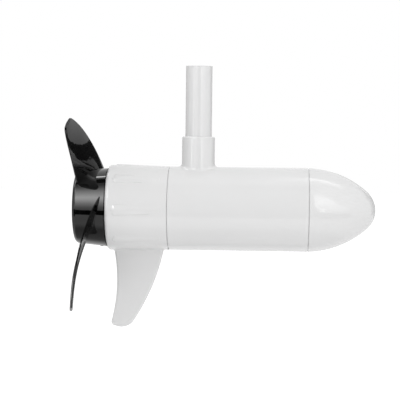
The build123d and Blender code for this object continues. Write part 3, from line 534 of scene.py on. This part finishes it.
def seen_or_lit(tree, seen, lit):
    """One shader for rays from the camera and off or through a shiny surface, and
    another for the rays that light the unit."""
    rays = tree.nodes.new("ShaderNodeLightPath")
    share = rays.outputs["Is Camera Ray"]
    for kind in ("Is Glossy Ray", "Is Transmission Ray"):
        either = tree.nodes.new("ShaderNodeMath")
        either.operation = "MAXIMUM"
        tree.links.new(share, either.inputs[0])
        tree.links.new(rays.outputs[kind], either.inputs[1])
        share = either.outputs["Value"]
    choice = tree.nodes.new("ShaderNodeMixShader")
    tree.links.new(share, choice.inputs["Fac"])
    tree.links.new(lit, choice.inputs[1])
    tree.links.new(seen, choice.inputs[2])
    return choice.outputs["Shader"]


def glow(tree, strength):
    """White light of this strength from a surface."""
    light = tree.nodes.new("ShaderNodeEmission")
    light.inputs["Strength"].default_value = strength
    return light.outputs["Emission"]


floor_corners = [
    (x * FLOOR_REACH, y * FLOOR_REACH, FLOOR_Z) for x, y in ((-1, -1), (1, -1), (1, 1), (-1, 1))
]
floor = plain_mesh("floor", floor_corners, [(0, 1, 2, 3)])
floor.visible_glossy = False
floor_finish, floor_tree, floor_shader, _ = new_finish("floor_white")
floor_shader.inputs["Base Color"].default_value = (*FLOOR_WHITE, 1)
floor_shader.inputs["Roughness"].default_value = FLOOR_ROUGHNESS
floor_shader.inputs["Specular IOR Level"].default_value = 0.0
floor_glow = seen_or_lit(floor_tree, glow(floor_tree, FLOOR_GLOW), glow(floor_tree, 0.0))
lit_floor = floor_tree.nodes.new("ShaderNodeAddShader")
floor_tree.links.new(floor_glow, lit_floor.inputs[0])
floor_tree.links.new(floor_shader.outputs["BSDF"], lit_floor.inputs[1])
floor_surface = floor_tree.nodes["Material Output"].inputs["Surface"]
floor_tree.links.new(lit_floor.outputs["Shader"], floor_surface)
floor.data.materials.append(floor_finish)

# The studio's white room is seen as plain white behind the unit. The light that its
# walls throw on the unit is weaker, so that the white paint doesn't burn out.
ROOM_LIGHT = 0.75
ROOM_SEEN = 1.0


def room_white(tree, strength):
    """White light of this strength from all round."""
    white = tree.nodes.new("ShaderNodeBackground")
    white.inputs["Color"].default_value = (1, 1, 1, 1)
    white.inputs["Strength"].default_value = strength
    return white.outputs["Background"]


world = bpy.data.worlds.new("studio")
scene.world = world
world.use_nodes = True
room = world.node_tree
walls = seen_or_lit(room, room_white(room, ROOM_SEEN), room_white(room, ROOM_LIGHT))
room.links.new(walls, room.nodes["World Output"].inputs["Surface"])

# Three soft lamps light the unit, one from above and two from the front. Their own
# shapes aren't reflected: the cards below are what the gloss shows.
OVERHEAD_PLACE = Vector((0.15, -0.8, 1.5))
LEFT_AZIMUTH, RIGHT_AZIMUTH = -35, 32
LAMP_ELEVATION = 8
LAMP_DISTANCE = 1.9
motor_middle = Vector((0.03, 0, SHAFT_Z))


def towards(azimuth, elevation, distance):
    """A step from the motor: azimuth 0 is to the front and grows to the right."""
    turn, rise = math.radians(azimuth), math.radians(elevation)
    level = math.cos(rise) * distance
    return Vector((math.sin(turn) * level, -math.cos(turn) * level, math.sin(rise) * distance))


def lamp(name, place, width, height, power):
    """A soft lamp that faces the motor."""
    light = bpy.data.lights.new(name, "AREA")
    light.shape = "RECTANGLE"
    light.size = width
    light.size_y = height
    light.energy = power
    thing = bpy.data.objects.new(name, light)
    thing.visible_glossy = False
    thing.location = place
    thing.rotation_mode = "QUATERNION"
    thing.rotation_quaternion = (motor_middle - place).to_track_quat("-Z", "Y")
    scene.collection.objects.link(thing)


left_place = motor_middle + towards(LEFT_AZIMUTH, LAMP_ELEVATION, LAMP_DISTANCE)
right_place = motor_middle + towards(RIGHT_AZIMUTH, LAMP_ELEVATION, LAMP_DISTANCE)
lamp("overhead", OVERHEAD_PLACE, width=1.8, height=1.2, power=6.0)
lamp("front_left", left_place, width=1.0, height=1.0, power=2.4)
lamp("front_right", right_place, width=1.0, height=1.0, power=4.8)

# A big soft box at the left draws the highlights on the hub and the tube's left side.
# Like all these cards, it is a sheet round the motor that only the gloss sees. A dim
# sheet fills in under its slanted foot, and two small ones sharpen the tube's highlight.
CARD_DISTANCE = 4.0
BEFORE_BOXES, BEHIND_BOXES = 3.9, 4.1
CARD_ROWS = 24
COLUMN_STEP = 5
LEAST_PEAK = 0.001
LEFT_BOX_TOP = 75
LEFT_BOX_FOOT = [(-16, -7), (-20, -7), (-24, -7), (-28, -7), (-32, -7),
                 (-34, 20), (-38, 34), (-45, 40), (-53, 42), (-62, 43)]
LEFT_BELL = [(-7, 0.9), (2, 1.6), (13, 3.5), (24, 6.4), (30, 7.4),
             (36, 6.2), (47, 3.8), (57, 1.6), (64, 0.6), (75, 0.3)]
SIDE_SHARE = 0.35


def glowing_face(name, glows, distance):
    """A card's face, whose glow is set by (elevation, glow) pairs that run upwards."""
    finish, tree, _, place = new_finish(name)
    height = tree.nodes.new("ShaderNodeSeparateXYZ")
    tree.links.new(place, height.inputs["Vector"])
    heights = [distance * math.sin(math.radians(elevation)) for elevation, _ in glows]
    spread = tree.nodes.new("ShaderNodeMapRange")
    spread.inputs["From Min"].default_value = heights[0]
    spread.inputs["From Max"].default_value = heights[-1]
    tree.links.new(height.outputs["Z"], spread.inputs["Value"])
    peak = max(LEAST_PEAK, *(strength for _, strength in glows))
    ramp = tree.nodes.new("ShaderNodeValToRGB")
    stops = ramp.color_ramp.elements
    while len(stops) < len(glows):
        stops.new(0.5)
    for stop, at, (_, strength) in zip(stops, heights, glows):
        stop.position = (at - heights[0]) / (heights[-1] - heights[0])
        share = strength / peak
        stop.color = (share, share, share, 1)
    tree.links.new(spread.outputs["Result"], ramp.inputs["Fac"])
    light = tree.nodes.new("ShaderNodeEmission")
    light.inputs["Strength"].default_value = peak
    tree.links.new(ramp.outputs["Color"], light.inputs["Color"])
    surface = tree.nodes["Material Output"].inputs["Surface"]
    tree.links.new(light.outputs["Emission"], surface)
    return finish


def hang(name, corners, faces, glows, distance):
    """A glowing sheet round the motor's middle that nothing but the gloss sees."""
    panel = plain_mesh(name, corners, faces)
    panel.location = motor_middle
    for ray in ("camera", "diffuse", "shadow", "transmission", "volume_scatter"):
        setattr(panel, "visible_" + ray, False)
    panel.data.materials.append(glowing_face(name + "_face", glows, distance))


def card(name, columns, glows, distance=CARD_DISTANCE):
    """A card on a sphere from (azimuth, low, high) columns, with its glow set by
    (elevation, glow) pairs that run upwards."""
    corners, faces = [], []
    for azimuth, low, high in columns:
        for row in range(CARD_ROWS + 1):
            elevation = low + (high - low) * row / CARD_ROWS
            corners.append(towards(azimuth, elevation, distance))
    for column in range(len(columns) - 1):
        for row in range(CARD_ROWS):
            first = column * (CARD_ROWS + 1) + row
            after = first + CARD_ROWS + 1
            faces.append((first, after, after + 1, first + 1))
    hang(name, corners, faces, glows, distance)


def straight(across, up, step=COLUMN_STEP):
    """Columns of a card whose top and bottom are level."""
    first, last = across
    count = max(1, round(abs(last - first) / step))
    return [(first + (last - first) * i / count, *up) for i in range(count + 1)]


def even_card(name, across, up, strength, distance=CARD_DISTANCE):
    """A card with level edges that glows the same all over."""
    card(name, straight(across, up), [(elevation, strength) for elevation in up], distance)


card("left_box", [(azimuth, foot, LEFT_BOX_TOP) for azimuth, foot in LEFT_BOX_FOOT], LEFT_BELL)
side_bell = [(elevation, SIDE_SHARE * strength) for elevation, strength in LEFT_BELL]
card("left_box_side", straight((-32, -62), (-7, LEFT_BOX_TOP)), side_bell, BEHIND_BOXES)
even_card("left_edge", (-39, -49), (-3, 8), strength=3.5, distance=BEFORE_BOXES)
even_card("front_sheet", (-15, -8), (-1, 8), strength=1.2, distance=BEFORE_BOXES)

# A smaller soft box at the right lights the nose and the tube's right side. It tapers
# to the right, and a small card before it sharpens the tube's highlight there.
RIGHT_BOX = [(14, 8, 60), (20, 2, 58), (26, -5, 50), (32, -5, 42),
             (38, -5, 32), (43, 1, 20), (50, 3, 11), (60, 5, 9)]
RIGHT_BELL = [(-5, 1.3), (4, 1.6), (13, 2.2), (22, 2.9),
              (28, 3.2), (36, 2.6), (46, 1.6), (60, 0.6)]
even_card("right_edge", (20, 26), (-3, 8), strength=3.1, distance=BEFORE_BOXES)
card("right_box", RIGHT_BOX, RIGHT_BELL)

# Dark cloths hang between the two boxes and under them. They darken the middle of the
# tube, and the black plastic of the hub and the near blade below the highlights.
CLOTH_DISTANCE = 4.2
CLOTH_BELL = [(-21, 0.0), (20, 0.1), (72, 0.3)]
card("front_cloth", straight((-16, 26), (-21, 72)), CLOTH_BELL, CLOTH_DISTANCE)
even_card("front_gap_left", (-62, -16), (-20, -6), strength=0.0)
even_card("front_gap_right", (26, 62), (-20, -5), strength=0.0)

# A grey sheet below, seen only in the gloss, is a painted reflection of the floor in the
# unit's shadow, grey straight below and brightening outwards. It shades the barrel's
# belly and the hub's underside. A dark cloth high at the left darkens the hub's top, and
# a grey wall at the left end the tube's left edge.
FLOOR_SHADOW_BELL = [(-90, 0.4), (-62, 0.42), (-48, 1.0)]
CEILING_DISTANCE = 9.0
card("shadowed_floor_reflection", straight((-180, 180), (-89.5, -48), step=10), FLOOR_SHADOW_BELL)
even_card("ceiling_cloth", (-110, -62), (61, 80), strength=0.03, distance=CEILING_DISTANCE)
even_card("left_wall", (-150, -90), (-25, 25), strength=0.3)

# Behind the unit, a dark wall darkens the near blade, and dark cloths the upper blade
# and the tube's right edge. A grey panel and two narrow edges before the cloths draw
# the lighter parts of the upper blade.
REAR_PANEL = [(143.3, -2, 0.2), (144.5, -4, 2.6), (146.5, -6.3, 4), (148.5, -8, 5),
              (151, -10, 6.2), (156, -12, 6.9), (161, -12, 7), (172, -12, 7.2)]
REAR_EDGE_LOW = [(129, -12, -5.2), (131, -12, -6), (134.4, -12, -6.4), (138, -12, -7.3),
                 (146, -12, -8.6), (147.5, -12, -9)]
REAR_EDGE_HIGH = [(129, -6, 0), (130, -0.5, 1.8), (132, 2.4, 4.4), (136, 4.6, 6.6),
                  (139, 6.2, 8.4), (143, 7.4, 9.6), (147, 8.6, 11)]
even_card("rear_wall", (172, 206), (-16, -4), strength=0.12)
even_card("rear_cloth", (108, 172), (-11, 12), strength=0.03, distance=CLOTH_DISTANCE)
even_card("rear_cloth_top", (108, 146), (12, 30), strength=0.03, distance=CLOTH_DISTANCE)
card("rear_panel", REAR_PANEL, [(-12, 0.45), (7.2, 0.45)])
card("rear_edge_low", REAR_EDGE_LOW, [(-12, 0.6), (-5, 0.6)])
card("rear_edge_high", REAR_EDGE_HIGH, [(-6, 0.36), (11, 0.36)])

# Long tube lights hang level above the unit, along the motor. They put a thin bright
# line on the top of the hub, and fainter ones on the tops of the housings.
STRIP_HEIGHT, CORE_HEIGHT = 4.0, 3.9
EVEN_SPAN = (0, 10)


def strip(name, length, depth, strength, height=STRIP_HEIGHT):
    """A level light this high over the motor's middle, from its own ends and sides."""
    (first, last), (near, far) = length, depth
    outline = [(first, near), (last, near), (last, far), (first, far)]
    corners = [(x, y, height) for x, y in outline]
    glows = [(elevation, strength) for elevation in EVEN_SPAN]
    hang(name, corners, [(0, 1, 2, 3)], glows, CARD_DISTANCE)


strip("strip_left", (-6.0, -0.6), (0.95, 1.38), strength=8.0)
strip("strip_right", (0.1, 3.2), (-0.3, 0.8), strength=1.9)
strip("strip_right_core", (0.3, 2.6), (0.15, 0.6), strength=3.6, height=CORE_HEIGHT)

# The camera has the photograph's viewing angle, from the front and a little above the
# motor, through a long lens. Its place is in metres and its turns are in degrees, and
# the lens and the sensor are in millimetres.
CAMERA_PLACE = (0.07128, -1.33335, -0.073)
CAMERA_TURNS = (86.957, -0.606, 2.994)
LENS_LENGTH = 111.29
SENSOR_WIDTH = 36
camera_data = bpy.data.cameras.new("camera")
camera_data.lens = LENS_LENGTH
camera_data.sensor_width = SENSOR_WIDTH
camera = bpy.data.objects.new("camera", camera_data)
camera.location = CAMERA_PLACE
camera.rotation_euler = [math.radians(turn) for turn in CAMERA_TURNS]
scene.collection.objects.link(camera)
scene.camera = camera
scene.view_settings.view_transform = "Standard"
